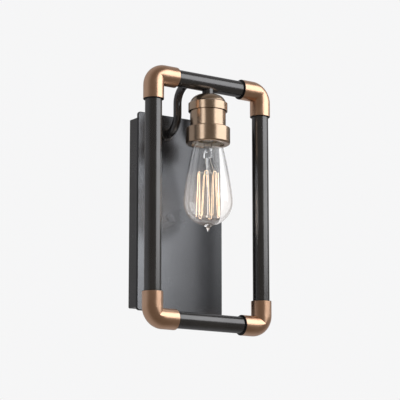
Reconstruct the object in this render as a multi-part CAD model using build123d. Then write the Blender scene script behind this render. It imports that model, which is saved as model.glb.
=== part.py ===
from build123d import *
import os
from math import acos, ceil, cos, degrees, hypot, pi, radians, sin

# Industrial pipe wall light with one bare lamp.
# Millimetres. +Z is up, -Y points from the wall into the room, +X is to the right seen from the room.
# The origin lies on the wall, at the middle of the wall strap and of the front plate.

# ---------------------------------------------------------------- driving sizes

# front plate: a shallow pressed pan
plate_width = 131.0
plate_height = 255.6
plate_projection = 28.0        # wall to the front face
plate_rim = 3.0                # depth of the turned-back rim
plate_sheet = 1.2
plate_corner = 4.0
plate_edge = 1.0               # rounding of the front edge

# back box: folded sheet, open to the wall
box_inset = 5.2                # box wall behind the rim of the front plate, all round
box_sheet = 1.2
box_corner = 1.8

# studs welded to the back of the front plate, with their nuts
stud_radius = 2.0
stud_length = 8.5
stud_side_inset = 16.0         # from the inside of the box to the stud
stud_end_inset = 24.0
stud_nut_flats = 7.0
stud_nut_height = 3.2

# wall strap
strap_width = 26.0
strap_sheet = 2.0
strap_bend = 3.0               # outside of the folds
strap_end_gap = 0.3
tab_depth = 16.0
wall_slot_spacing = 88.9
wall_slot_length = 14.0
wall_slot_width = 4.8

# box fixing screws, through the top and bottom of the box into the strap's tabs
box_screw_radius = 1.95
box_screw_length = 9.0
box_screw_head_radius = 3.8
box_screw_head_height = 2.3
box_screw_slot = 1.0
box_screw_from_wall = 9.0

# grounding screws, eyelets and wire
ground_screw_radius = 1.8
ground_head_radius = 3.9
ground_head_height = 2.2
ground_screw_slot = 0.9
ground_wire_radius = 0.7
ground_wire_bend = 6.0
eyelet_radius = 3.6
eyelet_thickness = 1.4
strap_ground_height = 22.0
box_ground_side = 26.0
box_ground_height = 42.0

# pipe frame
frame_projection = 89.2        # wall to the pipe axes
frame_width = 165.4            # between the upright pipes' axes
frame_height = 305.4           # between the level pipes' axes
frame_rise = 7.7               # middle of the frame above the middle of the plate
pipe_radius = 10.65
pipe_wall = 1.2

# elbows
elbow_radius = 13.0
elbow_leg = 32.7               # corner of the axes to the rim
elbow_bend = 14.5              # bend of the axis
elbow_trim_gap = 0.05          # legs' skin to the trim that gives the inside corner its crease
elbow_socket_depth = 16.0
elbow_rim_round = 0.7

# arms
arm_radius = 5.25
arm_wall = 1.0
arm_bend = 22.0
arm_side = 21.6                # each arm from the middle
arm_from_plate_top = 25.2      # top edge of the plate to where the arm leaves it
arm_step = 52.2                # wall to the arm's upright part
arm_inner_end = 7.0            # how far it runs on behind the front of the box
arm_pipe_entry = 1.6           # how far it reaches past the wall of the top pipe
collar_radius = 8.7
collar_height = 2.2
collar_bevel = 0.7
arm_washer_radius = 9.1
arm_washer_thickness = 1.0
arm_washer_teeth = 12
arm_nut_flats = 15.0
arm_nut_height = 3.6

# socket stem
stem_radius = 7.3
stem_neck = 4.45               # neck that shows between the top pipe and the cap
stem_reach = 2.2               # from the lowest point of the pipe's bore upwards
spigot_radius = 5.0
spigot_beyond_nut = 1.5
stem_bore = 3.4
stem_nut_flats = 14.5
stem_nut_height = 3.5

# lamp holder shells
cap_sheet = 1.0
cap_flat_radius = 10.0
cap_dome_radius = 22.7
cap_dome_height = 9.6
cap_dome_bulge = 2.5           # how far the dome swells past a straight cone
cap_band_radius = 24.9
cap_step_height = 1.9          # slope between the dome and the band
cap_band_height = 10.1
holder_radius = 22.7
holder_sheet = 0.9
holder_height = 50.8
holder_lip = 2.8               # inward lip at the mouth
bead_radius = 23.5
bead_height = 2.0
ring_radius = 28.2
ring_height = 21.0
ring_sheet = 1.2
ring_mouth_radius = 21.0
ring_top_round = 0.8
ring_bottom_round = 2.5

# lamp holder insides
liner_sheet = 0.8
liner_above_core = 9.0
core_recess_radius = 19.2
core_recess_depth = 8.6
core_height = 38.0
pocket_radius = 9.8
pocket_depth = 4.0
shell_sheet = 0.6
shell_length = 18.6
shell_mouth_flange = 1.8
shell_top_flange = 4.0
tongue_width = 5.0
tongue_sheet = 0.4
tongue_heel = 1.9              # past the rivet
tongue_toe = 2.6               # past the lamp's axis
tongue_press_gap = 0.3         # tongue to the lamp's contact
contact_terminal_side = 6.0
shell_terminal_side = 10.7
rivet_radius = 1.2
rivet_head_radius = 1.8
rivet_head_height = 0.8
rivet_offset = 4.0             # rivets behind the row of terminals, their screws as far in front
terminal_sheet = 0.8
terminal_width = 7.0
terminal_length = 16.0
terminal_screw_radius = 1.6
terminal_screw_depth = 5.5
terminal_head_radius = 2.9
terminal_head_height = 2.0
terminal_screw_slot = 0.8

# supply wires inside the light
wire_radius = 1.0
wire_pitch = 2.6               # between the two wires' middles
wire_bend = 6.0
terminal_wire_bend = 3.5
terminal_wire_run = 9.0        # straight beside the terminal's screw
wire_from_wall = 9.0           # where the wires turn down in the box
connector_radius = 4.6
connector_mouth_radius = 5.8
connector_length = 19.0
connector_bore_depth = 12.0
hot_connector_side = 36.0
hot_connector_drop = 58.6      # foot of the connector below where the wires enter the box
neutral_connector_drop = 72.6

# screw base of the lamp and its thread in the holder
thread_pitch = 3.629
thread_crest_radius = 13.15
thread_depth = 0.75
lamp_ridge_radius = 1.32       # rounding of the lamp's ridge
shell_ridge_radius = 1.1       # rounding of the holder's ridge
thread_clearance = 0.2
ridge_root = 0.3               # how deep each ridge is rooted in its wall
ridge_end_gap = 0.4            # end of the holder's ridge below its top flange
base_sheet = 0.42
base_skirt_radius = 13.0
base_skirt_length = 4.2
base_taper = 0.9
base_length = 20.0
base_window_radius = 10.2
insulator_plug = 1.6
insulator_rise = 1.65          # seat of the contact above the brass shell
lamp_contact_radius = 4.6
lamp_contact_height = 0.9
lamp_contact_round = 0.6
contact_gap = 0.05
lamp_seat = 0.5                # lamp's contact below the top of the screw shell

# glass of the lamp
glass_wall = 0.8
globe_radius = 31.0
globe_rise = 38.5              # tip to the middle of the globe
side_start_angle = 6.0         # above the equator, where the long side leaves the globe
shoulder_radius = 19.0
shoulder_drop = 7.8            # shoulder below the neck
neck_radius = 12.3
neck_rise = 117.0
neck_length = 2.6
neck_show = 0.4                # between the end of the shoulder and the rim of the base
tip_radius = 0.9
tip_root_radius = 7.5

# mount of the filament
flare_radius = 5.4
flare_wall = 0.9
flare_height = 8.0
press_width = 12.0
press_thickness = 4.2
press_height = 8.0
press_rise = 94.5              # tip to the bottom of the press
mount_rod_radius = 2.1
lower_rod_radius = 1.2
button_radius = 2.7
button_height = 3.4
lead_radius = 0.35
lead_spread = 4.0
lead_drop = 6.0
lead_bend = 4.0
support_radius = 0.2
support_gap = 0.1
support_overhang = 0.9

# filament
filament_radius = 0.35
filament_loops = 7
cage_top_radius = 13.0
cage_bottom_radius = 15.0
cage_top_rise = 75.5
cage_bottom_rise = 18.8
cage_turn = 20.0               # turn of the cage's gap from +X
loop_width = 4.0

# clearances
slip = 0.1                     # pipes in elbows, arms and stem in their holes
hole_clearance = 0.25          # screws, studs and arms in clearance holes
thread_fit = 0.05              # screws and studs in nuts and tapped holes

# ---------------------------------------------------------------- places that follow from the sizes

plate_front = -plate_projection
box_front = plate_front + plate_sheet
box_inside = box_front + box_sheet
box_width = plate_width - 2 * box_inset
box_height = plate_height - 2 * box_inset
arm_exit_height = plate_height / 2 - arm_from_plate_top

frame_y = -frame_projection
frame_side = frame_width / 2
frame_top = frame_rise + frame_height / 2
frame_bottom = frame_rise - frame_height / 2
arm_turn = min(arm_bend, 0.48 * (frame_top - arm_exit_height))   # two bends fit the upright run
pipe_bore = pipe_radius - pipe_wall
pipe_end_inset = elbow_leg - elbow_socket_depth

cap_top = frame_top - pipe_radius - stem_neck
dome_foot = cap_top - cap_dome_height
band_top = dome_foot - cap_step_height
band_bottom = band_top - cap_band_height
holder_top = band_top - cap_sheet
holder_bottom = holder_top - holder_height
holder_bore = holder_radius - holder_sheet
ring_bottom = holder_bottom - ring_sheet
ring_top = ring_bottom + ring_height
liner_radius = holder_bore - slip
core_radius = liner_radius - liner_sheet - slip
core_bottom = holder_bottom + holder_sheet
core_top = core_bottom + core_height
core_step = core_bottom + core_recess_depth

shell_bore = thread_crest_radius + thread_clearance
shell_radius = shell_bore + shell_sheet
shell_bottom = core_step - shell_sheet
shell_top = shell_bottom + shell_length
pocket_top = shell_top + pocket_depth
terminal_top = core_top + terminal_sheet

lamp_top = shell_top - lamp_seat
contact_seat = lamp_top - lamp_contact_height - contact_gap
base_top = contact_seat - insulator_rise
base_rim = base_top - base_length
lamp_tip = base_rim - neck_show - neck_rise
globe_z = lamp_tip + globe_rise
neck_end = lamp_tip + neck_rise + neck_length
base_root_radius = thread_crest_radius - thread_depth
base_bore = base_root_radius - base_sheet
lamp_ridge_start = base_rim + base_skirt_length + base_taper + lamp_ridge_radius
lamp_ridge_end = base_top - base_taper - lamp_ridge_radius
# the holder's ridge runs half a pitch off the lamp's, from the first such turn inside its mouth
turns_up = ceil((shell_bottom + shell_ridge_radius - lamp_ridge_start) / thread_pitch - 0.5)
shell_ridge_start = lamp_ridge_start + (turns_up + 0.5) * thread_pitch
shell_ridge_end = shell_top - shell_sheet - ridge_end_gap - shell_ridge_radius

socket_axis = Axis((0, frame_y, 0), (0, 0, 1))
socket_section = Plane(origin=(0, frame_y, 0), x_dir=(1, 0, 0), z_dir=(0, -1, 0))


# ---------------------------------------------------------------- ways of making shapes

def facing_room(x, y, z):
    """A plane at a point, seen from the room: its X is +X, its Y is +Z and it faces -Y."""
    return Plane(origin=(x, y, z), x_dir=(1, 0, 0), z_dir=(0, -1, 0))


def about_socket(radius, angle, z):
    """A point at a radius, an angle in degrees and a height about the socket's axis."""
    return Vector(radius * cos(radians(angle)), frame_y + radius * sin(radians(angle)), z)


def rod(start, end, radius):
    """A round bar between two points."""
    run = Vector(end) - Vector(start)
    return extrude(Plane(origin=start, z_dir=run) * Circle(radius), amount=run.length)


def tube(start, end, outer, inner):
    """A round tube between two points."""
    return rod(start, end, outer) - rod(start, end, inner)


def bent_bar(points, bends, radius):
    """A round bar along straight runs joined by tangent arcs."""
    path = FilletPolyline(*points, radius=bends)
    return sweep(Plane(origin=path @ 0, z_dir=path % 0) * Circle(radius), path=path)


def outline(*pieces):
    """A face inside a closed chain of lines and arcs."""
    return make_face([edge for piece in pieces for edge in piece.edges()])


def turned(section):
    """A solid turned about the socket's axis from a section of radius and height."""
    return revolve(socket_section * section, axis=socket_axis)


def hex_nut(start, end, across_flats, bore):
    """A hexagon nut between two points, its corners turned off at both faces."""
    run = Vector(end) - Vector(start)
    hexagon = RegularPolygon(across_flats / 2, 6, major_radius=False)
    blank = extrude(Plane(origin=start, z_dir=run) * hexagon, amount=run.length)
    corner = across_flats / 2 / cos(pi / 6)
    barrel = rod(start, end, corner)
    barrel = chamfer(barrel.edges().filter_by(GeomType.CIRCLE), corner - across_flats / 2)
    return (blank & barrel) - rod(start, end, bore)


def slotted_head(start, end, radius, slot_width):
    """A screw's head between two points, rounded at its end and slotted across."""
    run = Vector(end) - Vector(start)
    head = rod(start, end, radius)
    rim = head.edges().filter_by(GeomType.CIRCLE).sort_by_distance(end)[0]
    head = fillet(rim, 0.5 * run.length)
    slot = Plane(origin=Vector(end) - run * 0.4, z_dir=run) * Rectangle(4 * radius, slot_width)
    return head - extrude(slot, amount=run.length)


# ---------------------------------------------------------------- front plate and box

def arm_holes():
    """Cutters for the two arms through the front of the box and the plate."""
    return [rod((x, 0, arm_exit_height), (x, 2 * plate_front, arm_exit_height),
                arm_radius + hole_clearance) for x in (-arm_side, arm_side)]


stud_side = box_width / 2 - box_sheet - stud_side_inset
stud_height = box_height / 2 - box_sheet - stud_end_inset
stud_places = [(x, z) for x in (-stud_side, stud_side) for z in (-stud_height, stud_height)]


def make_front_plate():
    """The pressed pan with its rounded front edge and the welded studs."""
    rim_plane = facing_room(0, plate_front + plate_rim, 0)
    pan = extrude(rim_plane * RectangleRounded(plate_width, plate_height, plate_corner), plate_rim)
    pan = fillet(pan.faces().sort_by(Axis.Y)[0].edges(), plate_edge)
    inside = RectangleRounded(plate_width - 2 * plate_sheet, plate_height - 2 * plate_sheet,
                              plate_corner - plate_sheet)
    pan -= extrude(rim_plane * inside, plate_rim - plate_sheet)
    for hole in arm_holes():
        pan -= hole
    for x, z in stud_places:
        pan += rod((x, box_front, z), (x, box_front + stud_length, z), stud_radius)
    return pan


def make_back_box():
    """The folded box behind the plate, open to the wall."""
    wall_plane = facing_room(0, 0, 0)
    box = extrude(wall_plane * RectangleRounded(box_width, box_height, box_corner), -box_front)
    inside = RectangleRounded(box_width - 2 * box_sheet, box_height - 2 * box_sheet,
                              box_corner - box_sheet)
    box -= extrude(wall_plane * inside, -box_inside)
    for hole in arm_holes():
        box -= hole
    for x, z in stud_places:
        box -= rod((x, 0, z), (x, 2 * box_front, z), stud_radius + hole_clearance)
    box -= rod((0, -box_screw_from_wall, -box_height), (0, -box_screw_from_wall, box_height),
               box_screw_radius + hole_clearance)
    box -= rod((box_ground_side, 0, box_ground_height),
               (box_ground_side, 2 * box_front, box_ground_height),
               ground_screw_radius + thread_fit)
    return box


def make_plate_nuts():
    """Four nuts on the studs of the front plate."""
    return Compound([hex_nut((x, box_inside, z), (x, box_inside + stud_nut_height, z),
                             stud_nut_flats, stud_radius + thread_fit) for x, z in stud_places])


# ---------------------------------------------------------------- wall strap

strap_half = box_height / 2 - box_sheet - strap_end_gap


def make_wall_strap():
    """The pressed strap: slots for the wall box, two tapped tabs and a grounding hole."""
    channel = extrude(facing_room(0, 0, 0) * Rectangle(strap_width, 2 * strap_half), tab_depth)
    folds = channel.edges().filter_by(Axis.X).sort_by(Axis.Y)[-2:]
    channel = fillet(folds, strap_bend)
    inner = Rectangle(strap_width, 2 * (strap_half - strap_sheet))
    inside = extrude(facing_room(0, -strap_sheet, 0) * inner, tab_depth)
    folds = inside.edges().filter_by(Axis.X).sort_by(Axis.Y)[-2:]
    strap = channel - fillet(folds, strap_bend - strap_sheet)
    for z in (-wall_slot_spacing / 2, wall_slot_spacing / 2):
        slot = SlotOverall(wall_slot_length, wall_slot_width, rotation=90)
        strap -= extrude(facing_room(0, strap_sheet, z) * slot, 3 * strap_sheet)
    strap -= rod((0, -box_screw_from_wall, -box_height), (0, -box_screw_from_wall, box_height),
                 box_screw_radius + thread_fit)
    strap -= rod((0, strap_sheet, strap_ground_height), (0, -2 * strap_sheet, strap_ground_height),
                 ground_screw_radius + thread_fit)
    return strap


def make_box_screws():
    """One screw through the top of the box and one through its bottom."""
    screws = []
    for up in (-1, 1):
        seat = up * box_height / 2
        screw = rod((0, -box_screw_from_wall, seat),
                    (0, -box_screw_from_wall, seat - up * box_screw_length), box_screw_radius)
        screw += slotted_head((0, -box_screw_from_wall, seat),
                              (0, -box_screw_from_wall, seat + up * box_screw_head_height),
                              box_screw_head_radius, box_screw_slot)
        screws.append(screw)
    return Compound(screws)


def make_ground_screws():
    """The grounding screw of the strap and that of the box, over the wire's eyelets."""
    strap_head = -strap_sheet - eyelet_thickness
    strap_screw = rod((0, 0, strap_ground_height), (0, strap_head, strap_ground_height),
                      ground_screw_radius)
    strap_screw += slotted_head((0, strap_head, strap_ground_height),
                                (0, strap_head - ground_head_height, strap_ground_height),
                                ground_head_radius, ground_screw_slot)
    box_head = box_inside + eyelet_thickness
    box_screw = rod((box_ground_side, box_front, box_ground_height),
                    (box_ground_side, box_head, box_ground_height), ground_screw_radius)
    box_screw += slotted_head((box_ground_side, box_head, box_ground_height),
                              (box_ground_side, box_head + ground_head_height, box_ground_height),
                              ground_head_radius, ground_screw_slot)
    return Compound([strap_screw, box_screw])


def make_ground_wire():
    """The bare wire from the strap's grounding screw to the box's, an eyelet on each end."""
    strap_y = -strap_sheet - eyelet_thickness / 2
    box_y = box_inside + eyelet_thickness / 2
    eyelet_bore = ground_screw_radius + hole_clearance
    to_ring = (eyelet_bore + eyelet_radius) / 2
    wire = bent_bar([(to_ring, strap_y, strap_ground_height),
                     (box_ground_side, strap_y, strap_ground_height),
                     (box_ground_side, box_y, strap_ground_height),
                     (box_ground_side, box_y, box_ground_height - to_ring)],
                    ground_wire_bend, ground_wire_radius)
    wire += rod((0, -strap_sheet, strap_ground_height),
                (0, -strap_sheet - eyelet_thickness, strap_ground_height), eyelet_radius)
    wire += rod((box_ground_side, box_inside, box_ground_height),
                (box_ground_side, box_inside + eyelet_thickness, box_ground_height), eyelet_radius)
    wire -= rod((0, 0, strap_ground_height), (0, box_front, strap_ground_height), eyelet_bore)
    wire -= rod((box_ground_side, 0, box_ground_height),
                (box_ground_side, box_front, box_ground_height), eyelet_bore)
    return wire


# ---------------------------------------------------------------- arms

def arm_route(x):
    """Corners of an arm's axis: out of the box, up, and forward into the top pipe."""
    pipe_end = frame_y + pipe_bore - arm_pipe_entry
    return [(x, box_inside + arm_inner_end, arm_exit_height), (x, -arm_step, arm_exit_height),
            (x, -arm_step, frame_top), (x, pipe_end, frame_top)]


def make_arm(x):
    """One bent tube."""
    return (bent_bar(arm_route(x), arm_turn, arm_radius)
            - bent_bar(arm_route(x), arm_turn, arm_radius - arm_wall))


def make_arm_collar(x):
    """The ring round the arm on the face of the plate."""
    seat = (x, plate_front, arm_exit_height)
    ring = rod(seat, (x, plate_front - collar_height, arm_exit_height), collar_radius)
    ring = fillet(ring.faces().sort_by(Axis.Y)[0].edges(), collar_bevel)
    return ring - rod(seat, (x, 2 * plate_front, arm_exit_height), arm_radius + hole_clearance)


def make_arm_washers():
    """Toothed washers behind the front of the box."""
    notch = pi * arm_washer_radius / arm_washer_teeth / 2
    washers = []
    for x in (-arm_side, arm_side):
        washer = tube((x, box_inside, arm_exit_height),
                      (x, box_inside + arm_washer_thickness, arm_exit_height),
                      arm_washer_radius, arm_radius + hole_clearance)
        for tooth in range(arm_washer_teeth):
            angle = 2 * pi * tooth / arm_washer_teeth
            gap_x = x + arm_washer_radius * sin(angle)
            gap_z = arm_exit_height + arm_washer_radius * cos(angle)
            washer -= rod((gap_x, box_front, gap_z), (gap_x, 0, gap_z), notch)
        washers.append(washer)
    return Compound(washers)


def make_arm_nuts():
    """Lock nuts on the arms' threaded ends."""
    face = box_inside + arm_washer_thickness
    return Compound([hex_nut((x, face, arm_exit_height), (x, face + arm_nut_height, arm_exit_height),
                             arm_nut_flats, arm_radius + thread_fit) for x in (-arm_side, arm_side)])


# ---------------------------------------------------------------- pipe frame

pipe_reach = frame_side - pipe_end_inset


def make_top_pipe():
    """The top pipe, holed for the arms at its back and for the stem below."""
    pipe = tube((-pipe_reach, frame_y, frame_top), (pipe_reach, frame_y, frame_top),
                pipe_radius, pipe_bore)
    for x in (-arm_side, arm_side):
        pipe -= rod((x, frame_y, frame_top), (x, 0, frame_top), arm_radius + slip)
    return pipe - rod((0, frame_y, frame_top), (0, frame_y, cap_top), stem_radius + slip)


def make_bottom_pipe():
    """The bottom pipe."""
    return tube((-pipe_reach, frame_y, frame_bottom), (pipe_reach, frame_y, frame_bottom),
                pipe_radius, pipe_bore)


def make_side_pipe(x):
    """An upright pipe."""
    return tube((x, frame_y, frame_bottom + pipe_end_inset), (x, frame_y, frame_top - pipe_end_inset),
                pipe_radius, pipe_bore)


def make_elbow(side, up):
    """A round outside bend whose legs meet in a sharp crease inside, with a socket in each leg."""
    corner = Vector(side * frame_side, frame_y, frame_top if up > 0 else frame_bottom)
    level_rim = corner - Vector(side * elbow_leg, 0, 0)
    upright_rim = corner - Vector(0, 0, up * elbow_leg)
    route = [level_rim, corner, upright_rim]
    elbow = bent_bar(route, elbow_bend, elbow_radius)
    circles = elbow.edges().filter_by(GeomType.CIRCLE)
    rims = [circles.sort_by_distance(rim)[0] for rim in (level_rim, upright_rim)]
    elbow = fillet(rims, elbow_rim_round)
    leg_radius = elbow_radius + elbow_trim_gap
    legs = [rod(rim, corner + (corner - rim).normalized() * leg_radius, leg_radius)
            for rim in (level_rim, upright_rim)]
    elbow &= legs[0] + legs[1]
    elbow -= bent_bar(route, elbow_bend, pipe_bore)
    for rim in (level_rim, upright_rim):
        inward = (corner - rim).normalized()
        elbow -= rod(rim, rim + inward * elbow_socket_depth, pipe_radius + slip)
    return elbow


# ---------------------------------------------------------------- socket stem and its nut

nut_top = cap_top - cap_sheet
spigot_end = nut_top - stem_nut_height - spigot_beyond_nut
stem_top = frame_top - pipe_bore + stem_reach


def make_socket_stem():
    """The neck below the top pipe with its threaded spigot, bored for the wires."""
    return turned(Polygon((stem_bore, spigot_end), (spigot_radius, spigot_end),
                          (spigot_radius, cap_top), (stem_radius, cap_top),
                          (stem_radius, stem_top), (stem_bore, stem_top), align=None))


def make_stem_nut():
    """The lock nut inside the cap."""
    return hex_nut((0, frame_y, nut_top - stem_nut_height), (0, frame_y, nut_top),
                   stem_nut_flats, spigot_radius + thread_fit)


# ---------------------------------------------------------------- lamp holder shells

def dome_arc(inset):
    """The cap's dome as an arc, on the outside or moved in by the sheet."""
    top = Vector(cap_flat_radius - inset, cap_top - inset)
    foot = Vector(cap_dome_radius - inset, dome_foot - inset)
    chord = foot - top
    outwards = Vector(-chord.Y, chord.X).normalized()
    return ThreePointArc(top, (top + foot) / 2 + outwards * cap_dome_bulge, foot)


def make_socket_cap():
    """The spun cap: flat hub, dome, and the band that covers the top of the body."""
    outer, inner = dome_arc(0), dome_arc(cap_sheet)
    hub = spigot_radius + hole_clearance
    inner_band = cap_band_radius - cap_sheet
    return turned(outline(
        Line((hub, cap_top), outer @ 0), outer,
        Polyline(outer @ 1, (cap_band_radius, band_top), (cap_band_radius, band_bottom),
                 (inner_band, band_bottom), (inner_band, holder_top),
                 (cap_dome_radius - cap_sheet, holder_top), inner @ 1),
        inner,
        Polyline(inner @ 0, (hub, cap_top - cap_sheet), (hub, cap_top))))


def make_socket_body():
    """The cylinder with a rounded bead above the ring and a lip turned in at the mouth."""
    section = Polygon((holder_radius, holder_bottom), (holder_radius, holder_top),
                      (holder_bore, holder_top), (holder_bore, core_bottom),
                      (holder_radius - holder_lip, core_bottom),
                      (holder_radius - holder_lip, holder_bottom), align=None)
    bead_middle = ring_top + bead_height / 2
    bead = ThreePointArc((holder_radius, ring_top), (bead_radius, bead_middle),
                         (holder_radius, ring_top + bead_height))
    section += outline(bead, Polyline((holder_radius, ring_top + bead_height),
                                      (holder_bore, bead_middle), (holder_radius, ring_top)))
    return turned(section)


def make_shade_ring():
    """The wide ring: a spun channel that is open towards the body and screws onto it."""
    bore = holder_radius + slip
    section = Polygon((bore, ring_top), (ring_radius, ring_top), (ring_radius, ring_bottom),
                      (ring_mouth_radius, ring_bottom), (ring_mouth_radius, holder_bottom),
                      (ring_radius - ring_sheet, holder_bottom),
                      (ring_radius - ring_sheet, ring_top - ring_sheet),
                      (bore, ring_top - ring_sheet), align=None)
    outer = section.vertices().group_by(Axis.X)[-1].sort_by(Axis.Y)
    section = fillet(outer[-1], ring_top_round)
    outer = section.vertices().sort_by_distance((ring_radius, ring_bottom, 0))
    return turned(fillet(outer[0], ring_bottom_round))


# ---------------------------------------------------------------- lamp holder insides

contact_rivet_reach = hypot(contact_terminal_side, rivet_offset)


def make_insulating_liner():
    """The fibre sleeve between the metal body and the core."""
    return turned(Polygon((liner_radius - liner_sheet, core_bottom), (liner_radius, core_bottom),
                          (liner_radius, core_top + liner_above_core),
                          (liner_radius - liner_sheet, core_top + liner_above_core), align=None))


def make_socket_core():
    """The ceramic core: open recess, bore for the screw shell, pocket for the contact tongue."""
    bore = shell_radius + slip
    core = turned(Polygon((core_recess_radius, core_bottom), (core_radius, core_bottom),
                          (core_radius, core_top), (0, core_top), (0, pocket_top),
                          (pocket_radius, pocket_top), (pocket_radius, shell_top),
                          (bore, shell_top), (bore, core_step),
                          (core_recess_radius, core_step), align=None))
    for x in (contact_terminal_side, -shell_terminal_side):
        core -= rod((x, frame_y + rivet_offset, core_step), (x, frame_y + rivet_offset, cap_top),
                    rivet_radius + thread_fit)
        core -= rod((x, frame_y - rivet_offset, core_top - terminal_screw_depth),
                    (x, frame_y - rivet_offset, cap_top), terminal_screw_radius + thread_fit)
    return core


def helical_ridge(start, end, centre_radius, ridge_radius, base_radius):
    """A rounded ridge along a right-hand helix about the socket's axis."""
    helix = Helix(pitch=thread_pitch, height=end - start, radius=base_radius,
                  center=(0, frame_y, start))
    plane = Plane(origin=helix @ 0, x_dir=(1, 0, 0), z_dir=helix % 0)
    circle = Pos(centre_radius - base_radius, 0) * Circle(ridge_radius)
    outwards = 1 if centre_radius < base_radius else -1
    keep = Pos(outwards * (ridge_radius - ridge_root), 0) * Rectangle(2 * ridge_radius,
                                                                      4 * ridge_radius)
    return sweep(plane * (circle & keep), path=helix, is_frenet=True)


def make_screw_shell():
    """The threaded shell in the core, flanged at its mouth and at its top."""
    shell = turned(Polygon((shell_bore, shell_bottom),
                           (shell_radius + shell_mouth_flange, shell_bottom),
                           (shell_radius + shell_mouth_flange, core_step),
                           (shell_radius, core_step), (shell_radius, shell_top),
                           (shell_bore - shell_top_flange, shell_top),
                           (shell_bore - shell_top_flange, shell_top - shell_sheet),
                           (shell_bore, shell_top - shell_sheet), align=None))
    crest = base_root_radius + thread_clearance
    shell += helical_ridge(shell_ridge_start, shell_ridge_end, crest + shell_ridge_radius,
                           shell_ridge_radius, shell_bore)
    under_flange = shell_top - shell_sheet - ridge_end_gap / 2
    return shell - rod((-shell_terminal_side, frame_y + rivet_offset, under_flange),
                       (-shell_terminal_side, frame_y + rivet_offset, core_top),
                       rivet_radius + thread_fit)


def make_contact_tongue():
    """The springy strip from the rivet down to the lamp's contact, in its pressed place."""
    along = Vector(contact_terminal_side, rivet_offset, 0).normalized()
    plane = Plane(origin=(0, frame_y, 0), x_dir=along, z_dir=(along.Y, -along.X, 0))
    flat = pocket_top - tongue_sheet / 2
    toe = lamp_top + tongue_press_gap + tongue_sheet / 2
    middle = Polyline((contact_rivet_reach + tongue_heel, flat),
                      (contact_rivet_reach - tongue_heel, flat),
                      (tongue_toe / 2, toe), (-tongue_toe, toe))
    strip = extrude(plane * trace(middle, tongue_sheet), amount=tongue_width / 2, both=True)
    return strip - rod((contact_terminal_side, frame_y + rivet_offset, core_step),
                       (contact_terminal_side, frame_y + rivet_offset, core_top),
                       rivet_radius + thread_fit)


def make_core_rivets():
    """Rivets that hold the tongue and the screw shell and carry the current to the terminals."""
    rivets = []
    for x, low in ((contact_terminal_side, pocket_top - tongue_sheet),
                   (-shell_terminal_side, shell_top - shell_sheet)):
        rivet = rod((x, frame_y + rivet_offset, low), (x, frame_y + rivet_offset, terminal_top),
                    rivet_radius)
        rivet += rod((x, frame_y + rivet_offset, low - rivet_head_height),
                     (x, frame_y + rivet_offset, low), rivet_head_radius)
        rivet += rod((x, frame_y + rivet_offset, terminal_top),
                     (x, frame_y + rivet_offset, terminal_top + rivet_head_height),
                     rivet_head_radius)
        rivets.append(rivet)
    return Compound(rivets)


def make_terminal_plates():
    """The two brass plates on top of the core."""
    plates = []
    for x in (contact_terminal_side, -shell_terminal_side):
        plate = extrude(Plane(origin=(x, frame_y, core_top))
                        * RectangleRounded(terminal_width, terminal_length, terminal_sheet),
                        amount=terminal_sheet)
        for y, radius in ((rivet_offset, rivet_radius), (-rivet_offset, terminal_screw_radius)):
            plate -= rod((x, frame_y + y, core_step), (x, frame_y + y, cap_top),
                         radius + thread_fit)
        plates.append(plate)
    return Compound(plates)


def make_terminal_screws():
    """The two screws that clamp the supply wires."""
    screws = []
    for x in (contact_terminal_side, -shell_terminal_side):
        screw = rod((x, frame_y - rivet_offset, terminal_top),
                    (x, frame_y - rivet_offset, core_top - terminal_screw_depth),
                    terminal_screw_radius)
        screw += slotted_head((x, frame_y - rivet_offset, terminal_top),
                              (x, frame_y - rivet_offset, terminal_top + terminal_head_height),
                              terminal_head_radius, terminal_screw_slot)
        screws.append(screw)
    return Compound(screws)


# ---------------------------------------------------------------- supply wires and connectors

def wire_offset(to_wall):
    """Each wire's place beside the other, the same in the stem, the top pipe and the arm."""
    return wire_pitch / 2 * (1 if to_wall else -1)


def supply_wire(terminal_x, to_wall, box_points):
    """A wire from beside its terminal up the stem, along the top pipe and through the left arm."""
    offset = wire_offset(to_wall)
    lane_y = frame_y + offset
    lane_x = -arm_side + offset
    side = 1 if terminal_x > 0 else -1
    start_y = frame_y - rivet_offset - terminal_head_radius - wire_radius - slip
    start_z = terminal_top + wire_radius + slip
    start_x = terminal_x + side * terminal_wire_run / 2
    points = [(start_x, start_y, start_z), (start_x - side * terminal_wire_run, start_y, start_z),
              (0, lane_y, spigot_end - wire_bend / 2), (0, lane_y, frame_top),
              (lane_x, lane_y, frame_top), (lane_x, -arm_step, frame_top),
              (lane_x, -arm_step, arm_exit_height), (lane_x, -wire_from_wall, arm_exit_height)]
    bends = [terminal_wire_bend, wire_bend, wire_bend, wire_bend, arm_turn, arm_turn, wire_bend]
    bends += [wire_bend] * (len(box_points) - 1)
    return bent_bar(points + box_points, bends, wire_radius)


connector_clear_depth = connector_length - connector_bore_depth
hot_connector_foot = arm_exit_height - hot_connector_drop
neutral_connector_foot = arm_exit_height - neutral_connector_drop


def make_hot_wire():
    """The wire from the contact tongue's terminal."""
    lane_x = -arm_side + wire_offset(False)
    connector_top = hot_connector_foot + connector_length
    swing = hot_connector_side + lane_x
    return supply_wire(contact_terminal_side, False, [
        (lane_x, -wire_from_wall, connector_top + swing + 2 * wire_bend),
        (-hot_connector_side, -wire_from_wall, connector_top + wire_bend),
        (-hot_connector_side, -wire_from_wall, hot_connector_foot + connector_clear_depth + slip)])


def make_neutral_wire():
    """The wire from the screw shell's terminal."""
    lane_x = -arm_side + wire_offset(True)
    return supply_wire(-shell_terminal_side, True, [
        (lane_x, -wire_from_wall, neutral_connector_foot + connector_clear_depth + slip)])


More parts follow.
